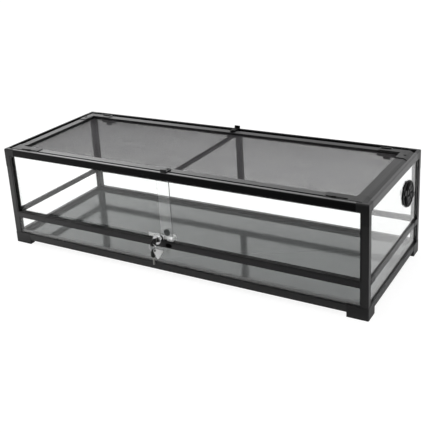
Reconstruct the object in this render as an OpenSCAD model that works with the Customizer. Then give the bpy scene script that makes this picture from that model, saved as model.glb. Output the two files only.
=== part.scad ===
// Reptile terrarium: framed glass cabinet, two sliding glass doors, lift-out screen lid.
// Millimetres, +Z up, the doors face -Y, z = 0 under the feet.

/* [Cabinet] */
// Width over the rails
cabinet_w = 1220; // [1100:10:1400]
// Depth over the rails
cabinet_d = 452; // [410:2:540]
// Height from the ground to the top of the lip
cabinet_h = 327; // [310:1:400]
// Shift of the back post, the lid brace and the lid seams to the right
centre_shift = 8; // [-10:1:15]

/* [Posts and feet] */
// Width of a corner post along the front
post_w = 24; // [22:0.5:28]
// Depth of a corner post
post_d = 17; // [15:0.5:19]
// Width of the post in the middle of the back
centre_post_w = 19.5; // [17:0.5:26]
// Length of a foot along the front
foot_w = 60; // [52:1:76]
// Length of a foot along the side
foot_d = 47; // [42:1:60]
// Height of a foot
foot_h = 36; // [34:0.5:39]
// Depth of the plastic top corners below the lip
corner_drop = 60; // [45:1:80]
// Standout of feet and sleeves from the rails
proud = 0.8; // [0.4:0.1:1.2]

/* [Rails] */
// Underside of the front and back base rails
base_front_z = 14; // [10:0.5:18]
// Underside of the side base rails
base_side_z = 19; // [15:0.5:21]
// Top of the base rails on the inside
base_inner_z = 41.5; // [40:0.5:48]
// Underside of the door sill
sill_z = 91; // [80:1:100]
// Height of the door sill
sill_h = 17.5; // [14:0.5:22]
// Underside of the side and back middle rails
mid_z = 98; // [88:1:106]
// Height of a middle rail on the outside
mid_h = 13.6; // [12:0.2:18]
// Height of a middle rail on the inside
mid_inner_h = 17; // [15:0.5:24]
// Length of the sleeves at the ends of the middle rails
sleeve_l = 30; // [20:1:45]
// Height of the top rails
top_rail_h = 23; // [22:0.5:27]
// Rounding of the top outer edge
lip_round = 3.4; // [1.5:0.1:4]

/* [Glass] */
// Thickness of the fixed panes
glass_t = 4; // [3:0.1:4.4]
// Recess of the lower front pane
front_recess = 1.5; // [1.2:0.1:3]
// Recess of the side panes
side_recess = 5; // [3:0.1:6]
// Recess of the back panes
back_recess = 2; // [1.5:0.1:3]
// Depth to which a pane enters a post or rail
glass_bite = 3.5; // [2.5:0.1:3.6]
// Clearance of the panes in their grooves
glass_clear = 0.3; // [0.2:0.05:0.4]
// Height of the floor surface
floor_z = 29; // [27:0.5:31]
// Thickness of the floor panel
floor_t = 4; // [3:0.5:5]

/* [Doors] */
// Thickness of a door
door_t = 4; // [3.5:0.1:4.2]
// Recess of the front door plane
door_recess = 5; // [4.4:0.1:5.4]
// Free space between the two door planes
door_gap = 3.5; // [3.2:0.1:3.9]
// Overlap of the two doors
door_overlap = 38; // [30:1:60]
// Middle of the overlap
door_meet_x = -9; // [-30:1:20]
// Width of the side channels that take the door edges
channel_w = 5.5; // [4.5:0.1:7]
// Height of the bottom track
track_h = 3.5; // [3:0.1:6]
// Clearance of the doors in tracks and channels
door_clear = 0.3; // [0.2:0.05:0.4]

/* [Lock] */
// Height of the ratchet bar
bar_h = 11; // [8:0.5:14]
// Thickness of the ratchet bar
bar_t = 1.8; // [1.5:0.1:2]
// Free end of the ratchet bar past the right door
bar_out = 46; // [34:1:60]
// Diameter of the lock barrel
barrel_d = 24; // [22:0.5:27]
// Length of the lock barrel
barrel_l = 10; // [8:0.5:24]
// Diameter of the turning plug
plug_d = 14; // [12:0.5:15]
// Width of a key head
key_head_d = 22; // [20:0.5:25]
// Length of a key head
key_head_l = 28; // [26:0.5:32]
// Length of the spare key's blade
key_blade_l = 23; // [18:0.5:28]
// Radius of the key ring
ring_r = 11; // [10:0.1:13]

/* [Vent] */
// Distance of the vent behind the middle of the side
vent_y = 115; // [60:1:130]
// Height of the vent centre
vent_z = 228; // [200:1:240]
// Diameter of the vent flange
vent_d = 80; // [70:1:90]
// Turn of the dial lugs from upright
lug_turn = 68; // [0:1:90]
// Reach of the dial lugs past the flange
lug_reach = 9; // [0:0.5:12]

/* [Lid] */
// Width of the lip around the lid
lip_w = 9; // [8:0.5:12]
// Width of the lip at the back
back_lip_w = 12; // [11:0.5:15]
// Trough beside the lid at left and right
trough_side = 15.5; // [12:0.5:20]
// Trough in front of the lid
trough_front = 10; // [9.5:0.5:13]
// Trough behind the lid
trough_back = 15; // [13:0.5:18]
// Width of the lid members
lid_member_w = 23; // [20:0.5:30]
// Height of the lid members
lid_h = 11; // [10.5:0.1:12]
// Drop of the lid top below the lip
lid_drop = 1; // [0.6:0.1:2]
// Standout of the plastic lid corners above the lid members
corner_proud = 2; // [1:0.1:2.5]
// Fall of the sloped shoulders at the lid sides
shoulder_drop = 7.6; // [6:0.1:8]
// Thickness of the ledge under the lid
ledge_t = 3; // [2.5:0.1:4]
// Drop of the mesh below the lid top
mesh_drop = 8; // [6:0.5:8.5]
// Width of the brace under the mesh
brace_w = 13.6; // [10:0.2:20]
// Height of the brace
brace_h = 7.5; // [4:0.5:10]
// Length of the front lid corners measured from the cabinet side
corner_front_l = 126; // [115:1:150]
// Length of the back lid corners measured from the cabinet side
corner_back_l = 113; // [100:1:130]
// Length of the cable inlets
inlet_l = 34; // [26:1:40]
// Distance of the cable inlets from the cabinet sides
inlet_in = 95; // [90:1:105]
// Width of the turn clips
clip_w = 18; // [14:0.5:20]
// Height of the thumb pieces of the turn clips
clip_h = 9; // [6:0.5:11]
// Length of the front latches
latch_l = 33; // [28:1:36]
// Length of the latch pockets
pocket_l = 60; // [56:1:66]
// Clearance between moving pieces
move_clear = 0.3; // [0.2:0.05:0.4]

/* [Hidden] */
$fn = 48;
hw = cabinet_w / 2;
hd = cabinet_d / 2;
post_x = hw - post_w;
post_y = hd - post_d;
side_d = post_w - 4;
top_z = cabinet_h - top_rail_h;
corner_z = cabinet_h - corner_drop;
sill_top = sill_z + sill_h;
mid_top = mid_z + mid_h;
mid_d = side_recess + glass_t + 4.5;
flange = 8;
pane_z = foot_h - 4;
pane_x = post_x + glass_bite;
pane_y = post_y + glass_bite;
side_in = hw - side_recess - glass_t;
back_in = hd - back_recess - glass_t;
front_in = -hd + front_recess;
centre_half = centre_post_w / 2;
vent_r = vent_d / 2;
bore_r = vent_r - 12;
// door planes, measured as y
fd_y = -hd + door_recess;
rd_y = fd_y + door_t + door_gap;
door_end = post_x + 2;
track_d0 = door_recess - 3.5;
track_d1 = door_recess + 2 * door_t + door_gap + 1.5;
sill_d = track_d1 + 2;
door_z0 = sill_top + 1;
pocket_h = 4.2;
door_z1 = top_z + pocket_h - 1;
right_x = door_meet_x - door_overlap / 2;
left_x = door_meet_x + door_overlap / 2;
// lid levels and outline
lid_top = cabinet_h - lid_drop;
lid_z = lid_top - lid_h;
ledge_z = lid_z - move_clear;
lid_x = hw - lip_w - trough_side;
lid_y0 = -hd + lip_w + trough_front;
lid_y1 = hd - back_lip_w - trough_back;
in_x = lid_x - lid_member_w;
in_y0 = lid_y0 + lid_member_w;
in_y1 = lid_y1 - lid_member_w;
bear = 11;
ledge_side = lip_w + trough_side + bear;
ledge_front = lip_w + trough_front + bear;
ledge_back = back_lip_w + trough_back + bear;
mesh_z = lid_top - mesh_drop;
mesh_bite = 4;
lc_x = hw - lip_w - move_clear;
lc_y0 = -hd + lip_w + move_clear;
// lock
bar_z = sill_top + track_h + 2.4 + bar_h / 2;
bar_y = rd_y - move_clear - bar_t;
lock_x = right_x - 4;
lock_z = sill_top + 7.5;
carriage_w = 19;
lock_front = -hd - 1 - barrel_l;
plug_front = lock_front - 1;
wire_r = 0.8;
hole_r = 3;
hole_in = 8;
head_y = plug_front - 2 - key_head_l / 2;
hole_y = plug_front - 2 - key_head_l + hole_in;
ring_z = lock_z - (hole_r - wire_r - 0.5) - ring_r;
// cable inlets
inlet_x = hw - inlet_in;
plate_l = inlet_l + 26;
slide_gap = 40;
inlet_y = lid_y1 - 4.5;
notch_y = inlet_y + 10;
plate_y0 = in_y1 + 1;
plate_y1 = inlet_y + 8;
stud_y = in_y1 + 8;
stud_pitch = 8;
stud_c = inlet_x + 7 - plate_l / 2 + 3 + stud_pitch / 2 + 2.5;
inlet_r = 6.5;
inlet_rim = 4;
// lid corners, screws and latches
corner_top = lid_top + corner_proud;
back_leg = in_y1 - 2 * lid_member_w;
front_leg = in_y0 + lid_member_w / 2;
screw_x = lid_x - 3;
screw_y = in_y1 - 0.8 * lid_member_w;
latch_w = 7.9;
latch_y = lc_y0 + 1.9;
pocket_x = hw - corner_front_l + 4;
brace_end = 1.5 * brace_w;
brace_top = mesh_z - 0.5;

FRAME = [0.11, 0.11, 0.12];
PLASTIC = [0.05, 0.05, 0.055];
GLASS = [0.75, 0.85, 0.85, 0.4];
FLOOR = [0.3, 0.3, 0.32];
METAL = [0.72, 0.73, 0.74];
MESH = [0.45, 0.45, 0.46];

// a box between two corners, grown by e
module box(x0, x1, y0, y1, z0, z1, e = 0) {
    translate([x0 - e, y0 - e, z0 - e]) cube([x1 - x0 + 2 * e, y1 - y0 + 2 * e, z1 - z0 + 2 * e]);
}

// profiles drawn as (y, z) and run along X, or as (x, z) and run along Y
module along_x(x0, x1) {
    translate([x0, 0, 0]) rotate([90, 0, 90]) linear_extrude(x1 - x0) children();
}
module along_y(y0, y1) {
    translate([0, y1, 0]) rotate([90, 0, 0]) linear_extrude(y1 - y0) children();
}
// the child as drawn for the right or the front, mirrored for the left or the back
module left_if(flag) {
    if (flag) mirror([1, 0, 0]) children();
    else children();
}
module back_if(flag) {
    if (flag) mirror([0, 1, 0]) children();
    else children();
}
module both_sides() {
    children();
    mirror([1, 0, 0]) children();
}

// panes, grown by e to cut their own grooves
module pane_low_front(e = 0) {
    box(-pane_x, pane_x, front_in, front_in + glass_t, pane_z, sill_z + glass_bite, e);
}
module pane_low_back(e = 0) {
    box(-pane_x, pane_x, back_in, back_in + glass_t, pane_z, mid_z + glass_bite, e);
}
module pane_low_side(e = 0) {
    box(side_in, side_in + glass_t, -pane_y, pane_y, pane_z, mid_z + glass_bite, e);
}
module pane_up_side(e = 0) {
    box(side_in, side_in + glass_t, -pane_y, pane_y, mid_top - glass_bite, top_z + glass_bite, e);
}
module pane_up_back_left(e = 0) {
    box(-pane_x, centre_shift - centre_half + glass_bite, back_in, back_in + glass_t,
        mid_top - glass_bite, top_z + glass_bite, e);
}
module pane_up_back_right(e = 0) {
    box(centre_shift + centre_half - glass_bite, pane_x, back_in, back_in + glass_t,
        mid_top - glass_bite, top_z + glass_bite, e);
}
module low_grooves() {
    pane_low_front(glass_clear);
    pane_low_back(glass_clear);
    both_sides() pane_low_side(glass_clear);
}
module up_grooves() {
    pane_up_back_left(glass_clear);
    pane_up_back_right(glass_clear);
    both_sides() pane_up_side(glass_clear);
}

// ---------- frame ----------
module foot_outline() {
    r = 3;
    o = proud;
    polygon([[hw - foot_w, -hd - o], [hw + o - r, -hd - o], [hw + o - 0.3 * r, -hd - o + 0.3 * r],
        [hw + o, -hd - o + r], [hw + o, -hd + foot_d], [hw - side_d, -hd + foot_d],
        [hw - side_d, -hd + post_d], [hw - foot_w, -hd + post_d]]);
}
module foot() {
    linear_extrude(foot_h) foot_outline();
    box(hw - foot_w, post_x, -hd + glass_t + front_recess, -post_y, foot_h - 1, base_inner_z);
    box(hw - side_d, side_in, -post_y, -hd + foot_d, foot_h - 1, base_inner_z);
}
module feet() {
    color(PLASTIC) difference() {
        for (b = [false, true]) back_if(b) both_sides() foot();
        low_grooves();
    }
}

module post_outline() {
    r = 1.2;
    polygon([[post_x, -hd + r], [post_x + r, -hd], [hw - r, -hd], [hw, -hd + r], [hw, -post_y],
        [post_x, -post_y]]);
}
module front_post() {
    difference() {
        translate([0, 0, foot_h]) linear_extrude(corner_z - foot_h) post_outline();
        low_grooves();
        up_grooves();
        box(post_x - 1, post_x + channel_w, -hd - 1, -post_y + 1, sill_top, corner_z + 1);
    }
}
module back_post() {
    difference() {
        back_if(true) translate([0, 0, foot_h]) linear_extrude(corner_z - foot_h) post_outline();
        low_grooves();
        up_grooves();
    }
}
module corner_post_front_left() { color(FRAME) left_if(true) front_post(); }
module corner_post_front_right() { color(FRAME) front_post(); }
module corner_post_back_left() { color(FRAME) left_if(true) back_post(); }
module corner_post_back_right() { color(FRAME) back_post(); }

// outer outline of a top rail: d runs inward from the outer face
function lip_line(bottom, depth) = let (r = lip_round) [[0, bottom], [0, cabinet_h - r],
    [0.18 * r, cabinet_h - 0.45 * r], [0.5 * r, cabinet_h - 0.13 * r], [r, cabinet_h],
    [depth, cabinet_h], [depth, bottom]];
function rail_line(lip, wall, depth) = let (r = lip_round) [[0, top_z], [0, cabinet_h - r],
    [0.18 * r, cabinet_h - 0.45 * r], [0.5 * r, cabinet_h - 0.13 * r], [r, cabinet_h],
    [lip, cabinet_h], [lip, ledge_z], [depth, ledge_z], [depth, ledge_z - ledge_t],
    [wall, ledge_z - ledge_t], [wall, top_z]];

module track_pocket(reach) {
    box(-reach, reach, -hd + track_d0, -hd + track_d1, top_z - 1, top_z + pocket_h);
}
// lip, wall and ledge of a corner; lip_y, wall_y and depth_y are measured from the front or back
module corner_block(lip_y, wall_y, depth_y) {
    difference() {
        intersection() {
            along_x(hw - ledge_side, hw) translate([-hd, 0]) polygon(lip_line(top_z, depth_y));
            along_y(-hd, -hd + depth_y) translate([hw, 0]) mirror([1, 0])
                polygon(lip_line(top_z, ledge_side));
        }
        box(hw - ledge_side - 1, hw - lip_w, -hd + lip_y, -hd + depth_y + 1, ledge_z, cabinet_h + 1);
        box(hw - ledge_side - 1, hw - mid_d, -hd + wall_y, -hd + depth_y + 1, top_z - 1,
            ledge_z - ledge_t);
    }
}
module top_corners_front() {
    color(PLASTIC) difference() {
        both_sides() {
            corner_block(lip_w, sill_d, ledge_front);
            box(post_x + channel_w, hw, -hd, -post_y, corner_z, top_z + 1);
        }
        track_pocket(post_x + channel_w);
        up_grooves();
    }
}
module top_corners_back() {
    color(PLASTIC) difference() {
        both_sides() back_if(true) {
            corner_block(back_lip_w, post_d, ledge_back);
            box(post_x, hw, -hd, -post_y, corner_z, top_z + 1);
        }
        up_grooves();
    }
}

module base_line(bottom, depth, inner, outer_top) {
    polygon([[0, bottom], [depth + flange, bottom], [depth + flange, floor_z - floor_t],
        [depth, floor_z - floor_t], [depth, base_inner_z], [inner, base_inner_z],
        [inner, outer_top], [0, outer_top]]);
}
module base_rail_front() {
    color(FRAME) difference() {
        along_x(-hw + foot_w, hw - foot_w) translate([-hd, 0])
            base_line(base_front_z, post_d, front_recess + glass_t, foot_h - 0.5);
        low_grooves();
    }
}
module base_rail_back() {
    color(FRAME) difference() {
        back_if(true) along_x(-hw + foot_w, hw - foot_w) translate([-hd, 0])
            base_line(base_front_z, post_d, back_recess + glass_t, foot_h - 0.5);
        low_grooves();
    }
}
module side_base_rail() {
    difference() {
        along_y(-hd + foot_d, hd - foot_d) translate([hw, 0]) mirror([1, 0])
            base_line(base_side_z, side_d, side_recess + glass_t, foot_h + 0.5);
        low_grooves();
    }
}
module base_rail_left() { color(FRAME) left_if(true) side_base_rail(); }
module base_rail_right() { color(FRAME) side_base_rail(); }

module door_sill() {
    color(FRAME) difference() {
        box(-post_x, post_x, -hd, -hd + sill_d, sill_z, sill_top);
        low_grooves();
    }
}
module mid_line(inner, e) {
    polygon([[-e, mid_z - e], [mid_d, mid_z - e], [mid_d, mid_z + mid_inner_h + e],
        [inner, mid_z + mid_inner_h + e], [inner, mid_top + e], [-e, mid_top + e]]);
}
module mid_rail_back() {
    color(FRAME) difference() {
        back_if(true) along_x(-post_x + sleeve_l, post_x - sleeve_l) translate([-hd, 0])
            mid_line(back_recess + glass_t, 0);
        low_grooves();
        up_grooves();
    }
}
module side_mid_rail() {
    difference() {
        along_y(-post_y + sleeve_l, post_y - sleeve_l) translate([hw, 0]) mirror([1, 0])
            mid_line(side_recess + glass_t, 0);
        low_grooves();
        up_grooves();
    }
}
module mid_rail_left() { color(FRAME) left_if(true) side_mid_rail(); }
module mid_rail_right() { color(FRAME) side_mid_rail(); }
module mid_rail_sleeves() {
    color(PLASTIC) difference() {
        both_sides() {
            for (y = [-post_y, post_y - sleeve_l]) {
                along_y(y, y + sleeve_l) translate([hw, 0]) mirror([1, 0])
                    mid_line(side_recess + glass_t, proud);
            }
            back_if(true) along_x(post_x - sleeve_l, post_x) translate([-hd, 0])
                mid_line(back_recess + glass_t, proud);
        }
        low_grooves();
        up_grooves();
    }
}
module top_rail_front() {
    color(FRAME) difference() {
        along_x(-hw + ledge_side, hw - ledge_side) translate([-hd, 0])
            polygon(rail_line(lip_w, sill_d, ledge_front));
        track_pocket(hw);
    }
}
module inlet_notch() {
    box(inlet_x - plate_l / 2 - slide_gap, inlet_x + plate_l / 2 + 9,
        hd - ledge_back - 1, notch_y, top_z - 1, ledge_z + 1);
}
module top_rail_back() {
    color(FRAME) difference() {
        back_if(true) along_x(-hw + ledge_side, hw - ledge_side) translate([-hd, 0])
            polygon(rail_line(back_lip_w, post_d, ledge_back));
        up_grooves();
        both_sides() inlet_notch();
    }
}
module side_top_rail() {
    difference() {
        along_y(-hd + ledge_front, hd - ledge_back) translate([hw, 0]) mirror([1, 0])
            polygon(rail_line(lip_w, mid_d, ledge_side));
        up_grooves();
        box(hw - 2 * ledge_side, hw + 1, -hd, hd, top_z - 1, top_z + 1);
    }
}
module top_rail_left() { color(FRAME) left_if(true) side_top_rail(); }
module top_rail_right() { color(FRAME) side_top_rail(); }
module back_centre_post() {
    color(FRAME) difference() {
        box(centre_shift - centre_half, centre_shift + centre_half, hd - mid_d, hd,
            mid_z + mid_inner_h, top_z);
        up_grooves();
    }
}

// ---------- panes and floor ----------
module floor_panel() {
    color(FLOOR) box(-hw + side_d + glass_clear, hw - side_d - glass_clear, -post_y + glass_clear,
        post_y - glass_clear, floor_z - floor_t, floor_z);
}
module lower_glass_front() { color(GLASS) pane_low_front(); }
module lower_glass_back() { color(GLASS) pane_low_back(); }
module lower_glass_left() { color(GLASS) left_if(true) pane_low_side(); }
module lower_glass_right() { color(GLASS) pane_low_side(); }
module side_glass_left() { color(GLASS) left_if(true) pane_up_side(); }
module side_glass_right() {
    color(GLASS) difference() {
        pane_up_side();
        vent_rod(bore_r + 2 * glass_clear, side_in - 1, side_in + glass_t + 1);
    }
}
module back_glass_left() { color(GLASS) pane_up_back_left(); }
module back_glass_right() { color(GLASS) pane_up_back_right(); }

// ---------- tracks and side channels ----------
module door_slots(z0, z1, reach) {
    for (y = [fd_y, rd_y]) box(-reach, reach, y - door_clear, y + door_t + door_clear, z0, z1);
}
module door_bottom_track() {
    color(PLASTIC) difference() {
        box(-post_x, post_x, -hd + track_d0, -hd + track_d1, sill_top, sill_top + track_h);
        door_slots(door_z0 - door_clear, sill_top + track_h + 1, hw);
    }
}
module door_top_track() {
    color(PLASTIC) difference() {
        box(-post_x, post_x, -hd + track_d0, -hd + track_d1, top_z, top_z + pocket_h);
        door_slots(top_z - 1, door_z1 + door_clear, hw);
    }
}
module door_side_channels() {
    color(PLASTIC) difference() {
        both_sides() box(post_x, post_x + channel_w, -hd + 0.8, -hd + track_d1, sill_top, top_z);
        door_slots(sill_top - 1, top_z + 1, door_end + door_clear);
    }
}

// ---------- doors and lock ----------
module door_right_glass() {
    color(GLASS) box(right_x, door_end, fd_y, fd_y + door_t, door_z0, door_z1);
}
module door_left_glass() {
    color(GLASS) box(-door_end, left_x, rd_y, rd_y + door_t, door_z0, door_z1);
}
module lock_bar() {
    hook_x = left_x + move_clear;
    hook_y = rd_y + door_t + move_clear;
    start = right_x - bar_out;
    z0 = bar_z - bar_h / 2;
    color(METAL) difference() {
        union() {
            box(start, hook_x + bar_t, bar_y, bar_y + bar_t, z0, z0 + bar_h);
            box(hook_x, hook_x + bar_t, bar_y, hook_y + bar_t, z0, z0 + bar_h);
            box(hook_x - 8, hook_x + bar_t, hook_y, hook_y + bar_t, z0, z0 + bar_h);
        }
        for (i = [0 : 6]) {
            along_y(bar_y - 1, bar_y + bar_t + 1) translate([start + 3 + 4 * i, z0])
                polygon([[0, -1], [0, 0], [3.2, 1.6], [3.2, -1]]);
        }
    }
}
module barrel(r, y0, y1) {
    translate([lock_x, y1, lock_z]) rotate([90, 0, 0]) cylinder(r = r, h = y1 - y0);
}
module lock_housing() {
    z0 = bar_z - bar_h / 2;
    slot = move_clear + 0.1;
    color(METAL) difference() {
        union() {
            box(right_x - carriage_w, right_x, -hd - 5, rd_y - slot, z0 - 2, z0 + bar_h + 2);
            box(right_x - 1, right_x + 12, fd_y - 2.2, fd_y, z0 - 2, z0 + bar_h + 2);
            box(right_x - carriage_w, right_x + 2, -hd - 5, -hd - 1, lock_z - 6, z0 + 4);
            barrel(barrel_d / 2, lock_front, -hd - 1);
            barrel(barrel_d / 2 + 1.5, lock_front, lock_front + 2.5);
        }
        box(right_x - carriage_w - 1, right_x + 1, bar_y - slot, rd_y, z0 - slot, z0 + bar_h + slot);
        barrel(plug_d / 2 + move_clear, lock_front - 1, -hd - 5);
    }
}
module lock_plug() {
    color(METAL) difference() {
        barrel(plug_d / 2, plug_front, -hd - 5 - move_clear);
        box(lock_x - 1.2, lock_x + 1.2, plug_front - 1, -hd - 8, lock_z - 4.4, lock_z + 4.4);
    }
}
module key_plate(t) {
    rotate([90, 0, 90]) translate([0, 0, -t / 2]) linear_extrude(t) children();
}
// oval key head, drawn along its length
module key_head() {
    reach = (key_head_l - key_head_d) / 2;
    key_plate(3.6) {
        for (s = [-1, 1]) translate([s * reach, 0]) circle(d = key_head_d);
        translate([-reach, -key_head_d / 2]) square([2 * reach, key_head_d]);
    }
}
module lock_key() {
    color(PLASTIC) translate([lock_x, 0, lock_z]) difference() {
        union() {
            key_plate(1.8) translate([head_y, -4]) square([-hd - 8.3 - head_y, 8]);
            translate([0, head_y, 0]) key_head();
        }
        key_plate(5) translate([hole_y, 0]) circle(r = hole_r);
    }
}
module key_ring() {
    color(METAL) translate([lock_x, hole_y, ring_z]) rotate([90, 0, 0])
        rotate_extrude() translate([ring_r, 0]) circle(r = wire_r, $fn = 16);
}
// hanging point on the ring at a sideways offset
function wire_z(dx) = ring_z - sqrt(ring_r * ring_r - dx * dx);
module spare_key() {
    dx = 1.5;
    middle = hole_in - key_head_l / 2;
    end = hole_in - key_head_l - key_blade_l;
    color(PLASTIC) translate([lock_x + dx, hole_y, wire_z(dx) - 1]) difference() {
        union() {
            translate([0, 0, middle]) rotate([90, 0, 0]) key_head();
            key_plate(1.8) translate([-4, end]) square([8, middle - end]);
        }
        key_plate(5) circle(r = hole_r + 0.3);
    }
}
module key_tag() {
    dx = 7;
    color(METAL) translate([lock_x + dx, hole_y, wire_z(dx) - 1]) rotate([0, 0, -35]) difference() {
        key_plate(1.2) polygon([[-4, 4], [3, 5], [23, -6], [24, -9], [10, -28], [6, -28], [-4, -3]]);
        key_plate(3) circle(r = hole_r + 0.6);
    }
}

// ---------- vent in the right pane ----------
module vent_rod(r, x0, x1) {
    translate([x0, vent_y, vent_z]) rotate([0, 90, 0]) cylinder(r = r, h = x1 - x0, $fn = 72);
}
module vent_slots(r0, r1, x0, x1, turn) {
    for (i = [0 : 5]) {
        translate([x0, vent_y, vent_z]) rotate([60 * i + turn, 0, 0])
            translate([0, -3.5, r0]) cube([x1 - x0, 7, r1 - r0]);
    }
}
module vent_flange() {
    x = side_in + glass_t;
    color(PLASTIC) difference() {
        union() {
            vent_rod(vent_r, x, x + 3);
            vent_rod(bore_r, side_in - 7, x + 3);
        }
        vent_rod(bore_r - 2.5, side_in - 8, x + 1);
        vent_slots(9, bore_r - 5, x, x + 4, 0);
        vent_rod(4 + move_clear, x, x + 4);
    }
}
module vent_nut() {
    color(PLASTIC) difference() {
        union() {
            vent_rod(bore_r + 6, side_in - 6, side_in);
            for (i = [0 : 7]) {
                translate([side_in - 6, vent_y, vent_z]) rotate([45 * i, 0, 0])
                    translate([0, -3, bore_r + 4]) cube([6, 6, 4.5]);
            }
        }
        vent_rod(bore_r + move_clear, side_in - 7, side_in + 1);
    }
}
module vent_shutter() {
    x = side_in + glass_t + 3 + move_clear;
    color(PLASTIC) difference() {
        union() {
            vent_rod(vent_r - 2, x, x + 3);
            vent_rod(vent_r - 10, x, x + 4.2);
            vent_rod(8, x, x + 5);
            vent_rod(4, x - 4.5, x + 1);
            for (a = [lug_turn, lug_turn + 180]) {
                translate([x, vent_y, vent_z]) rotate([a, 0, 0])
                    translate([0, -7, vent_r - 9]) cube([4.2, 14, 9 + lug_reach]);
            }
        }
        vent_slots(11, vent_r - 17, x - 1, x + 5, 30);
    }
}

// ---------- lid ----------
module lid_sheet(e) {
    box(-in_x - mesh_bite, in_x + mesh_bite, in_y0 - mesh_bite, in_y1 + mesh_bite,
        mesh_z - 0.2, mesh_z + 0.2, e);
}
module lid_mesh() { color(MESH) lid_sheet(0); }
module lid_seam() {
    box(centre_shift - 0.4, centre_shift + 0.4, -hd, hd, lid_top - 1, lid_top + 1);
}
module lid_front_rail() {
    reach = hw - corner_front_l;
    color(FRAME) difference() {
        box(-reach, reach, lid_y0, in_y0, lid_z, lid_top);
        lid_sheet(move_clear);
        lid_seam();
    }
}
module lid_back_rail() {
    reach = hw - corner_back_l;
    color(FRAME) difference() {
        box(-reach, reach, in_y1, lid_y1, lid_z, lid_top);
        lid_sheet(move_clear);
        lid_seam();
        both_sides() {
            stud_holes();
            inlet_line(inlet_r + inlet_rim + glass_clear, lid_z - 1, lid_top + 1);
        }
    }
}
// side section with a sloped shoulder that falls towards the lip, raised by up
module side_section(up) {
    polygon([[in_x, lid_z], [lc_x, lid_z], [lc_x, lid_top + up - shoulder_drop],
        [lid_x + 2, lid_top + up - 0.5], [lid_x - 2, lid_top + up], [in_x, lid_top + up]]);
}
module lid_side_rails() {
    color(FRAME) difference() {
        both_sides() along_y(front_leg, back_leg) side_section(0);
        lid_sheet(move_clear);
    }
}
module latch_pocket() {
    box(pocket_x, pocket_x + pocket_l, latch_y - move_clear, latch_y + latch_w + move_clear,
        corner_top - 3.3, corner_top + 1);
}
module lid_corners_front() {
    color(PLASTIC) difference() {
        both_sides() {
            box(hw - corner_front_l, lid_x - 2, lc_y0, in_y0, lid_z, corner_top);
            along_y(lc_y0, front_leg) side_section(corner_proud);
        }
        lid_sheet(move_clear);
        both_sides() latch_pocket();
    }
}
// oval around a cable inlet, with ends of radius r
module inlet_line(r, z0, z1) {
    reach = inlet_l / 2 - inlet_r;
    for (s = [-1, 1]) {
        translate([inlet_x + s * reach, inlet_y, z0]) cylinder(r = r, h = z1 - z0);
    }
    box(inlet_x - reach, inlet_x + reach, inlet_y - r, inlet_y + r, z0, z1);
}
module lid_corners_back() {
    color(PLASTIC) difference() {
        both_sides() difference() {
            union() {
                box(hw - corner_back_l, lid_x - 2, in_y1, lid_y1, lid_z, corner_top);
                along_y(back_leg, lid_y1) side_section(corner_proud);
                inlet_line(inlet_r + inlet_rim, lid_z, corner_top);
            }
            inlet_line(inlet_r, lid_z - 1, corner_top + 1);
            stud_holes();
            translate([screw_x, screw_y, lid_z + 2]) cylinder(d = 4.6, h = lid_h + 2);
        }
        lid_sheet(move_clear);
    }
}
module lid_brace() {
    color(FRAME) {
        box(centre_shift - brace_w / 2, centre_shift + brace_w / 2, in_y0, in_y1,
            brace_top - brace_h, brace_top);
        for (y = [in_y0, in_y1 - 2]) {
            box(centre_shift - brace_end, centre_shift + brace_end, y, y + 2,
                brace_top - brace_h, brace_top);
        }
    }
}
module stud_holes() {
    for (s = [-1, 1]) {
        translate([stud_c + s * stud_pitch / 2, stud_y, lid_z - 1]) cylinder(d = 4.6, h = 7);
    }
}
module lid_screws() {
    color(METAL) both_sides() {
        translate([screw_x, screw_y, lid_z + 3]) cylinder(d = 4, h = corner_top - lid_z - 3);
        translate([screw_x, screw_y, corner_top]) cylinder(d = 8, h = 1.4);
        for (s = [-1, 1]) {
            translate([stud_c + s * stud_pitch / 2, stud_y, lid_z - 4.6]) cylinder(d = 4, h = 9);
            translate([stud_c + s * stud_pitch / 2, stud_y, lid_z - 4.6]) cylinder(d = 7, h = 1.7);
        }
    }
}

// sliding latch in its pocket in a front lid corner, with its grip at the lower x
module latch(x0) {
    z0 = corner_top - 3;
    box(x0, x0 + latch_l, latch_y, latch_y + latch_w, z0, corner_top - 0.4);
    box(x0, x0 + 12, latch_y + 1.5, latch_y + latch_w - 1.5, z0, corner_top + 2.2);
}
module front_latch_left() { color(PLASTIC) latch(-pocket_x - latch_l - 2); }
module front_latch_right() { color(PLASTIC) latch(pocket_x + 17); }

// turn clips on the lid whose tails lie over the lip
module clip(tail) {
    z0 = cabinet_h + move_clear - lid_top;
    translate([0, 0, move_clear]) cylinder(d = 9, h = z0 + 2.6 - move_clear);
    translate([0, 0, z0]) cylinder(d = clip_w, h = 2.6);
    translate([-clip_w / 2, 0, z0]) cube([clip_w, tail, 2.6]);
    translate([-clip_w / 2, tail - 5, z0]) cube([clip_w, 5, clip_h]);
    translate([0, 0, z0]) cylinder(d = 7, h = 4.4);
}
module centre_clip_front() {
    color(PLASTIC) translate([centre_shift - 7, lid_y0 + 9, lid_top]) mirror([0, 1, 0])
        clip(lip_w + trough_front + 9 - 1);
}
module centre_clip_back() {
    color(PLASTIC) translate([centre_shift - 7, lid_y1 - 9, lid_top])
        clip(back_lip_w + trough_back + 9 - 1);
}

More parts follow.
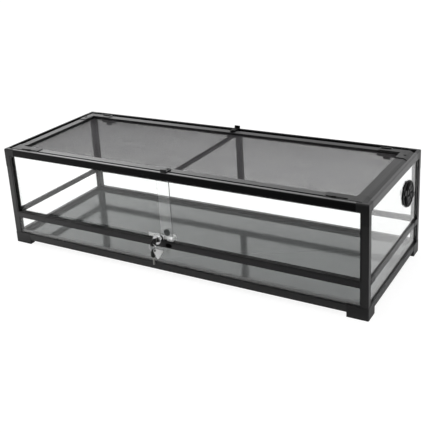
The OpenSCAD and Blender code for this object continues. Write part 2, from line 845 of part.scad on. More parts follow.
// shutters under the cable inlets, hung on two headed studs
module inlet_slider(xc) {
    z1 = lid_z - move_clear;
    difference() {
        union() {
            box(xc - plate_l / 2, xc + plate_l / 2, plate_y0, plate_y1, z1 - 2.3, z1);
            box(xc - plate_l / 2, xc + plate_l / 2, plate_y0, plate_y0 + 2.5, z1 - 7, z1);
            box(xc - 11, xc + 11, plate_y0, plate_y0 + 2.5, z1 - 15, z1);
        }
        box(xc - plate_l / 2 + 3, xc + plate_l / 2 - 3, stud_y - 2.5, stud_y + 2.5, z1 - 3, z1 + 1);
    }
}
module inlet_slider_left() { color(PLASTIC) mirror([1, 0, 0]) inlet_slider(inlet_x - 18); }
module inlet_slider_right() { color(PLASTIC) inlet_slider(inlet_x + 7); }

feet();
corner_post_front_left();
corner_post_front_right();
corner_post_back_left();
corner_post_back_right();
top_corners_front();
top_corners_back();
base_rail_front();
base_rail_back();
base_rail_left();
base_rail_right();
door_sill();
mid_rail_back();
mid_rail_left();
mid_rail_right();
top_rail_front();
top_rail_back();
top_rail_left();
top_rail_right();
mid_rail_sleeves();
back_centre_post();
floor_panel();
lower_glass_front();
lower_glass_back();
lower_glass_left();
lower_glass_right();
side_glass_left();
side_glass_right();
back_glass_left();
back_glass_right();
door_top_track();
door_bottom_track();
door_side_channels();
vent_flange();
vent_nut();
vent_shutter();
door_left_glass();
door_right_glass();
lock_bar();
lock_housing();
lock_plug();
lock_key();
key_ring();
spare_key();
key_tag();
lid_front_rail();
lid_back_rail();
lid_side_rails();
lid_corners_front();
lid_corners_back();
lid_brace();
lid_mesh();
lid_screws();
front_latch_left();
front_latch_right();
centre_clip_front();
centre_clip_back();
inlet_slider_left();
inlet_slider_right();
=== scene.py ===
"""Dresses the reptile terrarium: finishes, woven lid screen, lock, keys, vent trim and studio."""

import math

import bmesh
import bpy
from mathutils import Matrix, Vector


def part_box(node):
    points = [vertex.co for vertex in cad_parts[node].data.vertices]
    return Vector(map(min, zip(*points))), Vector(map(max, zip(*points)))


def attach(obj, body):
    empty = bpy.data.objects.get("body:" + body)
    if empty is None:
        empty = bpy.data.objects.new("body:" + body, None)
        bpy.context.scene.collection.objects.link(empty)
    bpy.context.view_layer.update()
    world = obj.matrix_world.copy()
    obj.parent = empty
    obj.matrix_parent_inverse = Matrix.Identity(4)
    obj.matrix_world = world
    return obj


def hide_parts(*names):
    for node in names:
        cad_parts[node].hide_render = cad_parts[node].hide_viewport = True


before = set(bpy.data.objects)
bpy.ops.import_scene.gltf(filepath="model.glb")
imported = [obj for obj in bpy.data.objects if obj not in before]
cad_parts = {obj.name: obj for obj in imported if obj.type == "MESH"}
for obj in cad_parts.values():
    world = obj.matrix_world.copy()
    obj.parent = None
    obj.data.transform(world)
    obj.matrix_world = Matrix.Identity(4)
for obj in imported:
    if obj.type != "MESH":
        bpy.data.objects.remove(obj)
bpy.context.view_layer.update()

MM = 0.001

# camera: place, direction and lens
CAMERA_AT = Vector((1.1930, -1.9234, 1.0905))
CAMERA_TURN = math.radians(30.755)
CAMERA_DIP = math.radians(18.793)
CAMERA_ROLL = math.radians(-3.293)
LENS_MM = 64.69
VIEW_SHIFT_Y = -0.1536

# woven screen; each layer of wires lies this share of a wire's thickness off the middle of the mesh
WIRE_PITCH = 1.5 * MM
WIRE_THICK = 0.39 * MM
WIRE_LIFT = 0.48

# level of the room as it lights the object, and as it is seen through the panes
ROOM_LIGHT = 0.6
THROUGH_GLASS = 1.36
# room as it is mirrored: (degrees from straight back towards the left, level)
WALL_GLOW = ((12, 0.9), (20, 0.68), (28, 0.76), (41, 1.8), (49, 1.4), (95, 0.64))

# pale floor: its colour, the share and strength of its glow as it is seen, the share of its glow as it
# is mirrored, and how much of the glass's extra level it takes
FLOOR_COLOUR = 0.9
FLOOR_WHITE = 0.75
FLOOR_GLOW = 1.2
MIRRORED_SHARE = 0.2
GLASS_SHARE = 0.25
# floor as it is mirrored: (x, level) in front of the cabinet, one level behind it
FRONT_GLOW = ((-1.15, 2.5), (-0.75, 1.2), (-0.3, 0.72), (0.6, 0.37))
BACK_GLOW = 0.9
# (y, share): where the front part begins, and where it runs out into the dark
FRONT_PART = ((-0.3, 1.0), (-0.2, 0.0))
DARK_FRONT = ((-0.88, 0.03), (-0.68, 1.0))
FLOOR_DROP = 0.5 * MM
FLOOR_SIZE = (60, 60)

# lamp
LAMP_AT = (-0.3, 0.2, 2.6)
LAMP_TOWARDS = (0, 0, 0.3)
LAMP_SIZE = (2.4, 1.4)
LAMP_WATTS = 20

# All sizes and places below are in millimetres.
# keys: the ring hole lies this far inside the head's end; each key has a free blade length and a hole radius
HOLE_IN = 8.0
HEAD_LONG = 28.0
HEAD_WIDE = 22.0
HEAD_THICK = 3.6
BLADE_WIDE = 8.0
BLADE_THICK = 1.8
BLADE_IN_HEAD = 1.5
TOOTH_CUTS = (0.0, 1.1, 0.5, 1.4, 0.2, 1.2, 0.8, 1.5, 0.3, 0.9)
LOCK_KEY_BLADE, LOCK_KEY_HOLE = 5.7, 3.0
SPARE_KEY_BLADE, SPARE_KEY_HOLE = 23.0, 3.3
KEY_RING_Y = -260
SPARE_KEY_X = -30.5

# split ring: radius of its wire, turns, distance from turn to turn, steps in all
RING_WIRE = 0.42
RING_TURNS = 2.0
RING_PITCH = 0.84
RING_STEPS = 96

# lock collar, with a row of beads round its edge
LOCK_X, LOCK_Z = -32, 116
COLLAR_INNER, COLLAR_OUTER = 11.3, 13.5
COLLAR_BACK, COLLAR_DEEP = -235.4, 2.2
BEADS = 30
BEAD_RADIUS = 0.95
BEAD_Y, BEAD_CIRCLE = -236.6, 13.2

# clamp on the rear door's edge: plates from corner to corner; turned parts of its screw as
# (radius, front, back, rounding, segments)
GUARD_PLATES = (((-8, -216.75, 108.5), (12.4, -215.65, 125.2)),
                ((10.6, -216.75, 108.5), (13.2, -207.2, 125.2)),
                ((-12, -208.6, 107.5), (13.2, -207.2, 125.2)))
GUARD_ROUNDING = 0.35
GUARD_SCREW = ((6.2, -207.3, -205.2, 0.6, 32), (3.6, -205.3, -198.6, 0.4, 28),
               (6.8, -198.8, -195.0, 0.8, 32))
GUARD_SCREW_X, GUARD_SCREW_Z = 5, 117

# rubber pad between the doors, and near-black oval on the sill
BUMPER_X, BUMPER_Z = -6.2, 137
BUMPER_RADIUS = 10.8
BUMPER_FRONT, BUMPER_BACK = -216.95, -214.1
SILL_OVAL_X, SILL_OVAL_Z = 2, 100
SILL_OVAL_HALF_LONG, SILL_OVAL_HALF_HIGH = 10.5, 6.5
SILL_OVAL_FRONT, SILL_OVAL_BACK = -227.1, -225.95

# rings on the vent dial: inner and outer radius, distance of the foot below the hub's face, height
DIAL_RINGS = ((34.2, 37.0, 2.1, 1.5), (27.6, 29.4, 0.9, 1.1), (4.6, 6.6, 0.1, 0.7), (30.8, 32.0, 2.1, 0.8))
RING_ROUNDING = 0.35


# ---------- finishes ----------
def finish_named(name, colour, roughness, metallic=0.0, **sockets):
    """A plain material; further sockets are named with underscores for spaces."""
    material = bpy.data.materials.new(name)
    material.use_nodes = True
    shader = material.node_tree.nodes["Principled BSDF"]
    shader.inputs["Base Color"].default_value = (*colour, 1.0)
    shader.inputs["Roughness"].default_value = roughness
    shader.inputs["Metallic"].default_value = metallic
    for socket, value in sockets.items():
        shader.inputs[socket.replace("_", " ")].default_value = value
    return material


def object_noise(material, stretch, scale, detail=3.0):
    """A noise on Object coordinates, drawn out by the three stretch factors."""
    nodes, links = material.node_tree.nodes, material.node_tree.links
    place = nodes.new("ShaderNodeTexCoord")
    draw = nodes.new("ShaderNodeMapping")
    draw.inputs["Scale"].default_value = stretch
    noise = nodes.new("ShaderNodeTexNoise")
    noise.inputs["Scale"].default_value = scale
    noise.inputs["Detail"].default_value = detail
    links.new(place.outputs["Object"], draw.inputs["Vector"])
    links.new(draw.outputs["Vector"], noise.inputs["Vector"])
    return noise


def ramp_between(material, noise, low, high, socket, start=0.35, end=0.65):
    """Spreads the noise between two grey levels or colours into a shader socket."""
    nodes, links = material.node_tree.nodes, material.node_tree.links
    ramp = nodes.new("ShaderNodeMapRange")
    ramp.inputs["From Min"].default_value = start
    ramp.inputs["From Max"].default_value = end
    links.new(noise.outputs["Fac"], ramp.inputs["Value"])
    if isinstance(low, tuple):
        blend = nodes.new("ShaderNodeMix")
        blend.data_type = "RGBA"
        blend.inputs["A"].default_value = (*low, 1.0)
        blend.inputs["B"].default_value = (*high, 1.0)
        links.new(ramp.outputs["Result"], blend.inputs["Factor"])
        links.new(blend.outputs["Result"], nodes["Principled BSDF"].inputs[socket])
        return
    ramp.inputs["To Min"].default_value = low
    ramp.inputs["To Max"].default_value = high
    links.new(ramp.outputs["Result"], nodes["Principled BSDF"].inputs[socket])


def relief(material, noise, depth, strength):
    """Lets the noise stand out of the surface by a depth in metres."""
    nodes, links = material.node_tree.nodes, material.node_tree.links
    bump = nodes.new("ShaderNodeBump")
    bump.inputs["Distance"].default_value = depth
    bump.inputs["Strength"].default_value = strength
    links.new(noise.outputs["Fac"], bump.inputs["Height"])
    links.new(bump.outputs["Normal"], nodes["Principled BSDF"].inputs["Normal"])


def drawn_aluminium(name, along, colour, roughness=0.34, gloss=0.5):
    """Black anodised extrusion with faint die lines along its length."""
    stretch = [1.0, 1.0, 1.0]
    stretch["xyz".index(along)] = 0.01
    material = finish_named(name, colour, roughness, Specular_IOR_Level=gloss)
    lines = object_noise(material, stretch, scale=900.0, detail=2.0)
    ramp_between(material, lines, roughness - 0.04, roughness + 0.04, "Roughness")
    relief(material, lines, depth=0.02 * MM, strength=0.25)
    return material


def painted_sheen_on_top(material, base, top, metallic):
    """Painted sheen: upward faces get a lighter, metallic colour than the sides, standing in for the bright
    room they mirror at a grazing angle.
    """
    nodes, links = material.node_tree.nodes, material.node_tree.links
    place = nodes.new("ShaderNodeTexCoord")
    split = nodes.new("ShaderNodeSeparateXYZ")
    links.new(place.outputs["Normal"], split.inputs[0])
    up = nodes.new("ShaderNodeMapRange")
    up.inputs["From Min"].default_value = 0.5
    up.inputs["From Max"].default_value = 0.9
    up.inputs["To Max"].default_value = metallic
    links.new(split.outputs["Z"], up.inputs["Value"])
    links.new(up.outputs["Result"], nodes["Principled BSDF"].inputs["Metallic"])
    blend = nodes.new("ShaderNodeMix")
    blend.data_type = "RGBA"
    blend.inputs["A"].default_value = (*base, 1.0)
    blend.inputs["B"].default_value = (*top, 1.0)
    links.new(up.outputs["Result"], blend.inputs["Factor"])
    links.new(blend.outputs["Result"], nodes["Principled BSDF"].inputs["Base Color"])


def moulded_black(name, colour, roughness, gloss=0.5):
    """Injection-moulded plastic with a fine spark-eroded grain."""
    material = finish_named(name, colour, roughness, Specular_IOR_Level=gloss)
    grain = object_noise(material, (1, 1, 1), scale=1400.0, detail=2.0)
    relief(material, grain, depth=0.03 * MM, strength=0.35)
    broad = object_noise(material, (1, 1, 1), scale=30.0)
    ramp_between(material, broad, roughness - 0.05, roughness + 0.05, "Roughness")
    return material


def polished_metal(name, colour, low, high, stretch=(1, 1, 1), scale=60.0):
    """Metal whose roughness wanders between two values."""
    material = finish_named(name, colour, low, 1.0)
    worn = object_noise(material, stretch, scale, detail=4.0)
    ramp_between(material, worn, low, high, "Roughness")
    return material


def clear_glass(name, colour):
    """Float glass with a trace of haze from wiping."""
    material = finish_named(name, colour, 0.0, IOR=1.46, Transmission_Weight=1.0)
    haze = object_noise(material, (1, 1, 1), scale=5.0, detail=4.0)
    ramp_between(material, haze, tuple(0.994 * c for c in colour), colour, "Base Color")
    return material


# One black anodised aluminium in lit and shaded copies: colour, roughness and gloss are set rail by rail, as
# painted sheen on the front top rail, the front lid rail, the right rails and the front base rail, and as
# painted shade on the back and left top rails.
RAIL_X = drawn_aluminium("black_rail_along_x", "x", (0.010, 0.010, 0.011))
RAIL_Y = drawn_aluminium("black_rail_along_y", "y", (0.010, 0.010, 0.011))
RAIL_Z = drawn_aluminium("black_post", "z", (0.014, 0.014, 0.0145))
SHEEN_TOP_RAIL_FRONT = drawn_aluminium("black_top_rail_front_painted_sheen", "x", (0.002, 0.002, 0.0023), 0.3, 0.22)
# painted sheen on the front top rail: its upward faces are lighter and metallic, its sides near black
painted_sheen_on_top(SHEEN_TOP_RAIL_FRONT, (0.002, 0.002, 0.0023), (0.22, 0.22, 0.222), 1.0)
SHADED_TOP_RAIL_BACK = drawn_aluminium("black_top_rail_back_painted_shade", "x", (0.003, 0.003, 0.0032), 0.5, 0.08)
SHADED_TOP_RAIL_LEFT = drawn_aluminium("black_top_rail_left_painted_shade", "y", (0.003, 0.003, 0.0032), 0.42, 0.12)
SHEEN_LID_RAIL_FRONT = drawn_aluminium("black_lid_rail_front_painted_sheen", "x", (0.02, 0.02, 0.0205), 0.3, 1.0)
SHEEN_RAIL_RIGHT = drawn_aluminium("black_rail_right_painted_sheen", "y", (0.018, 0.0175, 0.0187), 0.3, 0.95)
BASE_X = drawn_aluminium("black_base_rail_along_x", "x", (0.01, 0.01, 0.0105), 0.34, 0.62)
CORNER = moulded_black("corner_plastic", (0.006, 0.006, 0.0065), 0.38)
TRACK = moulded_black("track_plastic", (0.004, 0.004, 0.004), 0.45)
VENT = moulded_black("vent_plastic", (0.002, 0.002, 0.002), 0.42, 0.06)
DIAL = moulded_black("vent_dial_plastic", (0.004, 0.004, 0.004), 0.36, 0.22)
RIM = moulded_black("vent_rim_plastic", (0.03, 0.03, 0.03), 0.3, 0.8)
# a near-black, nearly matte oval on the sill's front face
NEAR_BLACK_OVAL = moulded_black("sill_near_black_oval", (0.0006, 0.0006, 0.0006), 0.6, 0.03)
RUBBER = moulded_black("bumper_rubber", (0.055, 0.06, 0.06), 0.55, 0.3)
KEY_HEAD = moulded_black("key_head_plastic", (0.004, 0.004, 0.004), 0.32)
CHROME = polished_metal("polished_lock_metal", (0.86, 0.86, 0.87), 0.08, 0.18)
# painted highlight: the bar's metal is nearly white and mostly not metallic, so its colour stands in for the
# bright light it would mirror
ZINC_PAINTED_HIGHLIGHT = polished_metal("zinc_bar_painted_highlight", (0.97, 0.97, 0.97), 0.22, 0.34)
ZINC_PAINTED_HIGHLIGHT.node_tree.nodes["Principled BSDF"].inputs["Metallic"].default_value = 0.3
# painted shade: the plug's metal colour is darkened to stand in for the dark surroundings its face mirrors
SHADED_PLUG_STEEL = polished_metal("lock_plug_steel_painted_shade", (0.2, 0.2, 0.2), 0.2, 0.3)
SCREW = polished_metal("blackened_screws", (0.035, 0.035, 0.036), 0.3, 0.42)
STEEL = polished_metal("key_steel", (0.66, 0.65, 0.62), 0.2, 0.34, stretch=(1, 1, 0.1), scale=400.0)
TAG = polished_metal("tag_metal", (0.96, 0.96, 0.96), 0.28, 0.42)
TAG.node_tree.nodes["Principled BSDF"].inputs["Metallic"].default_value = 0.35
WIRE = finish_named("screen_wire", (0.112, 0.108, 0.113), 0.35, 0.7,
                    Specular_Tint=(0.7, 0.69, 0.7, 1.0))
ramp_between(WIRE, object_noise(WIRE, (1, 1, 1), scale=5.0), 0.32, 0.4, "Roughness")
PANE = clear_glass("clear_pane", (0.993, 1.0, 0.996))
FLOOR = finish_named("glossy_floor_panel", (0.042, 0.048, 0.048), 0.1, Specular_IOR_Level=0.61,
                     Specular_Tint=(0.96, 1.0, 1.0, 1.0))
ramp_between(FLOOR, object_noise(FLOOR, (1, 1, 1), scale=6.0, detail=4.0), 0.07, 0.1, "Roughness")

# which nodes wear which finish; the aluminium rails wear lit and shaded copies of one finish
NODE_FINISH = {
    RAIL_X: ["base_rail_back", "door_sill", "mid_rail_back", "lid_back_rail"],
    SHEEN_TOP_RAIL_FRONT: ["top_rail_front"],
    SHADED_TOP_RAIL_BACK: ["top_rail_back"],
    SHADED_TOP_RAIL_LEFT: ["top_rail_left"],
    SHEEN_LID_RAIL_FRONT: ["lid_front_rail"],
    SHEEN_RAIL_RIGHT: ["top_rail_right", "mid_rail_right"],
    BASE_X: ["base_rail_front"],
    RAIL_Y: ["base_rail_left", "base_rail_right", "mid_rail_left", "lid_side_rails", "lid_brace"],
    RAIL_Z: ["corner_post_front_left", "corner_post_front_right", "corner_post_back_left",
             "corner_post_back_right", "back_centre_post"],
    CORNER: ["feet", "top_corners_front", "top_corners_back", "mid_rail_sleeves", "lid_corners_front",
             "lid_corners_back", "centre_clip_front"],
    VENT: ["vent_nut", "inlet_slider_left", "inlet_slider_right", "front_latch_left", "front_latch_right",
           "centre_clip_back"],
    DIAL: ["vent_shutter"],
    RIM: ["vent_flange"],
    TRACK: ["door_top_track", "door_bottom_track", "door_side_channels"],
    PANE: ["lower_glass_front", "lower_glass_back", "lower_glass_left", "lower_glass_right",
           "side_glass_left", "side_glass_right", "back_glass_left", "back_glass_right",
           "door_left_glass", "door_right_glass"],
    FLOOR: ["floor_panel"],
    CHROME: ["lock_housing", "key_ring"],
    ZINC_PAINTED_HIGHLIGHT: ["lock_bar"],
    SHADED_PLUG_STEEL: ["lock_plug"],
    SCREW: ["lid_screws"],
    TAG: ["key_tag"],
    KEY_HEAD: ["lock_key", "spare_key"],
    WIRE: ["lid_mesh"],
}


def dress_nodes():
    """Puts each node's finish into all its material slots."""
    for material, names in NODE_FINISH.items():
        for name in names:
            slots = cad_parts[name].data.materials
            if not slots:
                slots.append(material)
            for i in range(len(slots)):
                slots[i] = material


# ---------- pieces ----------
def piece_from(bm, name, material, body=None, smooth=True):
    """Makes an object of the mesh, at the origin, and lets it ride on a body."""
    mesh = bpy.data.meshes.new(name)
    bm.to_mesh(mesh)
    bm.free()
    piece = bpy.data.objects.new(name, mesh)
    bpy.context.scene.collection.objects.link(piece)
    mesh.materials.append(material)
    for face in mesh.polygons:
        face.use_smooth = smooth
    if body:
        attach(piece, body)
    return piece


def corners(node):
    """The lowest and the highest corner of a node."""
    return [Vector(corner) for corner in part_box(node)]


def row_of_wires(bm, start, along, step, count, length):
    """A six-sided wire along one axis, repeated sideways into a row."""
    turn = Matrix.Rotation(math.radians(90), 4, "Y" if along == 0 else "X")
    place = Matrix.Translation(start) @ turn
    wire = bmesh.new()
    bmesh.ops.create_cone(wire, cap_ends=True, segments=6, radius1=WIRE_THICK / 2,
                          radius2=WIRE_THICK / 2, depth=length, matrix=place)
    bmesh.ops.spin(wire, geom=wire.verts[:] + wire.edges[:] + wire.faces[:], cent=start, axis=(0, 0, 1),
                   dvec=step, angle=0.0, steps=count - 1, use_duplicate=True)
    join_into(bm, wire)


def woven_screen():
    """Two layers of straight wires over the whole of the lid's mesh."""
    low, high = corners("lid_mesh")
    middle = (low + high) / 2
    size = high - low
    bm = bmesh.new()
    across = int(size.x / WIRE_PITCH)
    along = int(size.y / WIRE_PITCH)
    lift = WIRE_THICK * WIRE_LIFT
    row_of_wires(bm, Vector((low.x + WIRE_PITCH / 2, middle.y, middle.z - lift)), 1,
                 (WIRE_PITCH, 0, 0), across, size.y)
    row_of_wires(bm, Vector((middle.x, low.y + WIRE_PITCH / 2, middle.z + lift)), 0,
                 (0, WIRE_PITCH, 0), along, size.x)
    screen = piece_from(bm, "woven_screen", WIRE, "lid")
    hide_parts("lid_mesh")


def edges_sharper_than(bm, degrees):
    """The edges at which two faces turn by more than the angle."""
    bm.normal_update()
    return [e for e in bm.edges if len(e.link_faces) == 2 and e.calc_face_angle() > math.radians(degrees)]


def round_edges(bm, width, segments=2, degrees=40):
    """Rounds every sharp edge."""
    bmesh.ops.bevel(bm, geom=edges_sharper_than(bm, degrees), offset=width, offset_type="OFFSET",
                    affect="EDGES", segments=segments, profile=0.5, material=-1, clamp_overlap=True)


def thicken(bm, faces, depth):
    """Extrudes flat faces by a vector and leaves a closed solid."""
    grown = bmesh.ops.extrude_face_region(bm, geom=faces, use_keep_orig=True)["geom"]
    bmesh.ops.translate(bm, vec=depth, verts=[g for g in grown if isinstance(g, bmesh.types.BMVert)])
    bmesh.ops.recalc_face_normals(bm, faces=bm.faces)


def rounded_block(low, high, width):
    """A bevelled block between two corners, in millimetres."""
    bm = bmesh.new()
    bmesh.ops.create_cube(bm, size=1.0)
    size = [(b - a) * MM for a, b in zip(low, high)]
    centre = [(a + b) / 2 * MM for a, b in zip(low, high)]
    bmesh.ops.scale(bm, vec=size, verts=bm.verts)
    bmesh.ops.translate(bm, vec=centre, verts=bm.verts)
    round_edges(bm, width * MM)
    return bm


def join_into(bm, other):
    """Adds the other mesh to the first and frees it."""
    mesh = bpy.data.meshes.new("joined")
    other.to_mesh(mesh)
    other.free()
    bm.from_mesh(mesh)
    bpy.data.meshes.remove(mesh)


def disc_along_y(radius, y0, y1, x, z, width=0.0, segments=40):
    """A turned disc between two y levels, in millimetres."""
    bm = bmesh.new()
    turn = Matrix.Rotation(math.radians(90), 4, "X")
    place = Matrix.Translation((x * MM, (y0 + y1) / 2 * MM, z * MM)) @ turn
    bmesh.ops.create_cone(bm, cap_ends=True, segments=segments, radius1=radius * MM,
                          radius2=radius * MM, depth=(y1 - y0) * MM, matrix=place)
    if width:
        round_edges(bm, width * MM)
    return bm


def softened(node, width, body, material):
    """A moulded part: the node's own form with its sharp edges rounded."""
    bm = bmesh.new()
    bm.from_mesh(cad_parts[node].data)
    bmesh.ops.remove_doubles(bm, verts=bm.verts, dist=0.01 * MM)
    bmesh.ops.dissolve_limit(bm, angle_limit=math.radians(1), verts=bm.verts, edges=bm.edges)
    round_edges(bm, width * MM, 3, 50)
    bmesh.ops.remove_doubles(bm, verts=bm.verts, dist=0.01 * MM)
    piece = piece_from(bm, node + "_moulding", material, body)
    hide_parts(node)


def lid_fasteners():
    """The lid's two turn clips and two front latches."""
    softened("centre_clip_front", 1.2, "clip_front", CORNER)
    softened("centre_clip_back", 1.2, "clip_back", VENT)
    softened("front_latch_left", 0.6, "latch_left", VENT)
    softened("front_latch_right", 0.6, "latch_right", VENT)


# ---------- keys ----------
def key_head_mesh(hole_radius):
    """An oval head with raised rims; its ring hole is at the origin and its blade points to +X."""
    bm = bmesh.new()
    outer = bmesh.ops.create_circle(bm, segments=40, radius=HEAD_WIDE / 2 * MM)["verts"]
    reach = (HEAD_LONG - HEAD_WIDE) / 2 * MM
    for side in (-1, 1):
        half = [v for v in outer if v.co.x * side > 0.01 * MM]
        bmesh.ops.translate(bm, vec=(side * reach, 0, 0), verts=half)
    bmesh.ops.translate(bm, vec=((HEAD_LONG / 2 - HOLE_IN) * MM, 0, 0), verts=outer)
    bmesh.ops.create_circle(bm, segments=40, radius=hole_radius * MM)
    plate = bmesh.ops.bridge_loops(bm, edges=bm.edges[:])["faces"]
    bmesh.ops.translate(bm, vec=(0, 0, -HEAD_THICK / 2 * MM), verts=bm.verts)
    thicken(bm, plate, (0, 0, HEAD_THICK * MM))
    round_edges(bm, 0.6 * MM, 3)
    outside = (HEAD_THICK / 2 - 0.1) * MM
    for side in (-1, 1):
        face = [f for f in bm.faces if f.normal.z * side > 0.99 and abs(f.calc_center_median().z) > outside]
        bmesh.ops.inset_region(bm, faces=face, thickness=1.3 * MM, depth=-0.45 * MM,
                               use_boundary=True, use_even_offset=True)
    return bm


def blade_mesh(start, length):
    """A flat key blade with a milled groove on both sides and a toothed edge."""
    bm = bmesh.new()
    rows = len(TOOTH_CUTS)
    bmesh.ops.create_grid(bm, x_segments=rows, y_segments=3, size=0.5)
    bmesh.ops.scale(bm, vec=(length * MM, BLADE_WIDE * MM, 1), verts=bm.verts)
    bmesh.ops.translate(bm, vec=((start + length / 2) * MM, 0, -BLADE_THICK / 2 * MM), verts=bm.verts)
    for row in range(1, rows):
        x = (start + length * row / rows) * MM
        tooth = [v for v in bm.verts if abs(v.co.x - x) < 0.01 * MM and v.co.y < (1 - BLADE_WIDE / 2) * MM]
        bmesh.ops.translate(bm, vec=(0, TOOTH_CUTS[row] * MM, 0), verts=tooth)
    tip = [v for v in bm.verts if v.co.x > (start + length - 0.01) * MM]
    bmesh.ops.scale(bm, vec=(1, 0.55, 1), verts=tip)
    thicken(bm, bm.faces[:], (0, 0, BLADE_THICK * MM))
    bm.normal_update()
    for side in (-1, 1):
        flat = [f for f in bm.faces if f.normal.z * side > 0.99]
        groove = [f for f in flat if abs(f.calc_center_median().y) < 1.2 * MM]
        bmesh.ops.inset_region(bm, faces=groove, thickness=0.25 * MM, depth=-0.4 * MM, use_boundary=True)
    return bm


def key_piece(name, node, body, hole, turn, blade_length, hole_radius):
    """Moulded head and steel blade, placed by the ring hole and turned."""
    place = Matrix.Translation(Vector(hole) * MM) @ turn.to_4x4()
    head = key_head_mesh(hole_radius)
    bmesh.ops.transform(head, matrix=place, verts=head.verts)
    head_piece = piece_from(head, name + "_head", KEY_HEAD, body)
    blade = blade_mesh(HEAD_LONG - HOLE_IN - BLADE_IN_HEAD, blade_length + BLADE_IN_HEAD)
    bmesh.ops.transform(blade, matrix=place, verts=blade.verts)
    piece_from(blade, name + "_blade", STEEL, body, smooth=False)
    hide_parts(node)


def keys():
    """One key stands in the lock, the other hangs from the ring."""
    along_y = Matrix(((0, 0, 1), (1, 0, 0), (0, 1, 0)))
    key_piece("lock_key", "lock_key", "lock_core", (LOCK_X, KEY_RING_Y, LOCK_Z), along_y,
              LOCK_KEY_BLADE, LOCK_KEY_HOLE)
    downward = Matrix(((0, 0, -1), (0, -1, 0), (-1, 0, 0)))
    hole_z = corners("spare_key")[1].z / MM - HOLE_IN
    key_piece("spare_key", "spare_key", "hanging_key", (SPARE_KEY_X, KEY_RING_Y, hole_z), downward,
              SPARE_KEY_BLADE, SPARE_KEY_HOLE)


def split_ring():
    """Two turns of round wire side by side."""
    low, high = corners("key_ring")
    centre = (low + high) / 2
    radius = (high.x - low.x) / 2 - 0.8 * MM
    travel = RING_PITCH * RING_TURNS * MM
    bm = bmesh.new()
    bmesh.ops.create_circle(bm, cap_ends=True, segments=10, radius=RING_WIRE * MM,
                            matrix=Matrix.Translation(centre + Vector((radius, -travel / 2, 0))))
    bmesh.ops.spin(bm, geom=bm.faces[:] + bm.edges[:] + bm.verts[:], cent=centre, axis=(0, 1, 0),
                   dvec=(0, travel / RING_STEPS, 0), angle=math.tau * RING_TURNS, steps=RING_STEPS,
                   use_merge=False)
    bmesh.ops.recalc_face_normals(bm, faces=bm.faces)
    ring = piece_from(bm, "split_ring", CHROME, "ring")
    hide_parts("key_ring")


# ---------- lock and doors ----------
def barrel_trim():
    """A beaded collar round the lock barrel."""
    rim = flat_ring(COLLAR_INNER, COLLAR_OUTER, COLLAR_DEEP, 0.5, 60)
    forward = Matrix.Rotation(math.radians(90), 4, "X")
    place = Matrix.Translation((LOCK_X * MM, COLLAR_BACK * MM, LOCK_Z * MM)) @ forward
    bmesh.ops.transform(rim, matrix=place, verts=rim.verts)
    bead = bmesh.new()
    first = Matrix.Translation((LOCK_X * MM, BEAD_Y * MM, (LOCK_Z + BEAD_CIRCLE) * MM))
    bmesh.ops.create_icosphere(bead, subdivisions=1, radius=BEAD_RADIUS * MM, matrix=first)
    bmesh.ops.spin(bead, geom=bead.verts[:] + bead.edges[:] + bead.faces[:],
                   cent=(LOCK_X * MM, BEAD_Y * MM, LOCK_Z * MM), axis=(0, 1, 0),
                   angle=math.tau * (BEADS - 1) / BEADS, steps=BEADS - 1, use_duplicate=True)
    join_into(rim, bead)
    piece_from(rim, "lock_barrel_collar", CHROME, "door_right")


def edge_guard():
    """The hooked end of the ratchet bar, clamped round the rear door's edge with a thumb screw."""
    bm = bmesh.new()
    for low, high in GUARD_PLATES:
        join_into(bm, rounded_block(low, high, GUARD_ROUNDING))
    for radius, front, back, rounding, segments in GUARD_SCREW:
        join_into(bm, disc_along_y(radius, front, back, GUARD_SCREW_X, GUARD_SCREW_Z, rounding, segments))
    piece_from(bm, "edge_guard", ZINC_PAINTED_HIGHLIGHT, "door_left")


def door_bumper():
    """A rubber pad between the doors, with a dished back."""
    bm = disc_along_y(BUMPER_RADIUS, BUMPER_FRONT, BUMPER_BACK, BUMPER_X, BUMPER_Z, 0.7)
    dish = [f for f in bm.faces if f.normal.y > 0.99 and f.calc_area() > 50 * MM * MM]
    bmesh.ops.inset_region(bm, faces=dish, thickness=3 * MM, depth=-0.6 * MM, use_boundary=True)
    piece_from(bm, "door_bumper", RUBBER, "door_right")


def sill_dark_oval():
    """A near-black, nearly matte oval on the sill's face, with a shallow dished face."""
    bm = disc_along_y(1.0, SILL_OVAL_FRONT, SILL_OVAL_BACK, 0, 0)
    bmesh.ops.scale(bm, vec=(SILL_OVAL_HALF_LONG, 1, SILL_OVAL_HALF_HIGH), verts=bm.verts)
    round_edges(bm, 0.4 * MM)
    dish = [f for f in bm.faces if f.normal.y < -0.99]
    bmesh.ops.inset_region(bm, faces=dish, thickness=1.4 * MM, depth=-0.3 * MM, use_boundary=True)
    bmesh.ops.translate(bm, vec=(SILL_OVAL_X * MM, 0, SILL_OVAL_Z * MM), verts=bm.verts)
    piece_from(bm, "sill_dark_oval", NEAR_BLACK_OVAL, "cabinet")


# ---------- vent ----------
def flat_ring(inner, outer, depth, width, segments=72):
    """A raised ring standing on the XY plane, in millimetres."""
    bm = bmesh.new()
    bmesh.ops.create_circle(bm, segments=segments, radius=outer * MM)
    bmesh.ops.create_circle(bm, segments=segments, radius=inner * MM)
    face = bmesh.ops.bridge_loops(bm, edges=bm.edges[:])["faces"]
    thicken(bm, face, (0, 0, depth * MM))
    round_edges(bm, width * MM)
    return bm


